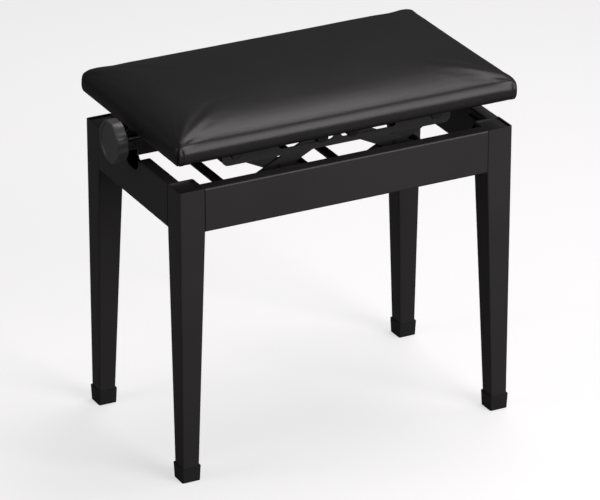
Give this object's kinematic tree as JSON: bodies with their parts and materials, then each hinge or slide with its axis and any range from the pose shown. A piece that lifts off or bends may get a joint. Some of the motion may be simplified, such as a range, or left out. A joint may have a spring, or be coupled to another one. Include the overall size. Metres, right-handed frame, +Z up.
{
  "type": "piano bench",
  "caption": "Steel-framed bench with a padded leatherette seat on a double scissor lift, raised and lowered by a side knob on a left-and-right-handed screw.",
  "frame": {"origin": "on the floor, under the centre of the leg frame", "axes": "+X along the bench, the knob is at the -X end; +Y from the front towards the rear; +Z up"},
  "size_m": [0.526, 0.29, 0.496],
  "materials": {
    "frame_paint": "satin",
    "lift_paint": "satin",
    "shaft_black": "satin",
    "plated_steel": "satin",
    "foot_plastic": "matte",
    "knob_plastic": "satin",
    "bush_nylon": "matte",
    "board_wood": "matte",
    "foam": "matte",
    "seat_leather": "satin"
  },
  "bodies": {
    "frame": {"leg_front_left": "frame_paint", "leg_front_right": "frame_paint", "leg_rear_left": "frame_paint", "leg_rear_right": "frame_paint", "foot_cap_front_left": "foot_plastic", "foot_cap_front_right": "foot_plastic", "foot_cap_rear_left": "foot_plastic", "foot_cap_rear_right": "foot_plastic", "corner_brace_front_left": "lift_paint", "corner_brace_front_right": "lift_paint", "corner_brace_rear_left": "lift_paint", "corner_brace_rear_right": "lift_paint", "leg_bolts": "plated_steel", "front_rail": "frame_paint", "rear_rail": "frame_paint", "left_rail": "frame_paint", "right_rail": "frame_paint", "lower_rail_front": "lift_paint", "lower_rail_rear": "lift_paint", "left_pivot_shaft": "shaft_black", "right_pivot_shaft": "shaft_black"},
    "left_rising_arms": {"left_rising_arm_front": "lift_paint", "left_rising_arm_rear": "lift_paint", "left_centre_rivets": "shaft_black"},
    "left_falling_arms": {"left_falling_arm_front": "lift_paint", "left_falling_arm_rear": "lift_paint", "left_sliding_shaft": "shaft_black"},
    "seat_carriage": {"upper_rail_front": "lift_paint", "upper_rail_rear": "lift_paint", "left_end_plate": "lift_paint", "right_end_plate": "lift_paint", "carriage_pins": "shaft_black", "screw_bushes": "bush_nylon", "seat_board": "board_wood", "foam_pad": "foam", "seat_cover": "seat_leather", "seat_screws": "plated_steel"},
    "left_nut": {"left_travelling_nut": "plated_steel", "left_nut_shafts": "shaft_black"},
    "right_rising_arms": {"right_rising_arm_front": "lift_paint", "right_rising_arm_rear": "lift_paint", "right_centre_rivets": "shaft_black"},
    "right_falling_arms": {"right_falling_arm_front": "lift_paint", "right_falling_arm_rear": "lift_paint", "right_sliding_shaft": "shaft_black"},
    "right_nut": {"right_travelling_nut": "plated_steel", "right_nut_shafts": "shaft_black"},
    "screw_and_knob": {"lift_screw": "plated_steel", "screw_collars": "plated_steel", "knob": "knob_plastic"}
  },
  "joints": [
    {"name": "seat_lift", "type": "hinge", "parent": "frame", "child": "left_rising_arms", "pos_m": [-0.147, 0, 0.381], "axis": [0, -1, 0], "range_deg": [-15.7, 28.4]},
    {"name": "left_scissor", "type": "hinge", "parent": "left_rising_arms", "child": "left_falling_arms", "pos_m": [-0.08486, 0, 0.411], "axis": [0, -1, 0], "range_deg": [-57.3, 31.9]},
    {"name": "seat_level", "type": "hinge", "parent": "left_falling_arms", "child": "seat_carriage", "pos_m": [-0.147, 0, 0.441], "axis": [0, -1, 0], "range_deg": [-16.2, 28.9]},
    {"name": "left_nut_turn", "type": "hinge", "parent": "left_rising_arms", "child": "left_nut", "pos_m": [-0.02273, 0, 0.441], "axis": [0, -1, 0], "range_deg": [-28.9, 16.2]},
    {"name": "right_lift", "type": "hinge", "parent": "frame", "child": "right_rising_arms", "pos_m": [0.147, 0, 0.381], "axis": [0, 1, 0], "range_deg": [-16.2, 28.9]},
    {"name": "right_scissor", "type": "hinge", "parent": "right_rising_arms", "child": "right_falling_arms", "pos_m": [0.08486, 0, 0.411], "axis": [0, 1, 0], "range_deg": [-57.3, 31.9]},
    {"name": "right_nut_turn", "type": "hinge", "parent": "right_rising_arms", "child": "right_nut", "pos_m": [0.02273, 0, 0.441], "axis": [0, 1, 0], "range_deg": [-28.9, 16.2]},
    {"name": "knob_turn", "type": "hinge", "parent": "seat_carriage", "child": "screw_and_knob", "pos_m": [-0.262, 0, 0.441], "axis": [1, 0, 0], "range_deg": [-754.1, 1363.7]}
  ],
  "couplings": [
    {"joint": "left_scissor", "follows": "seat_lift", "ratio": -2},
    {"joint": "seat_level", "follows": "seat_lift", "ratio": 1},
    {"joint": "left_nut_turn", "follows": "seat_lift", "ratio": -1},
    {"joint": "right_lift", "follows": "seat_lift", "ratio": 1},
    {"joint": "right_scissor", "follows": "seat_lift", "ratio": -2},
    {"joint": "right_nut_turn", "follows": "seat_lift", "ratio": -1},
    {"joint": "knob_turn", "follows": "seat_lift", "ratio": 48}
  ]
}
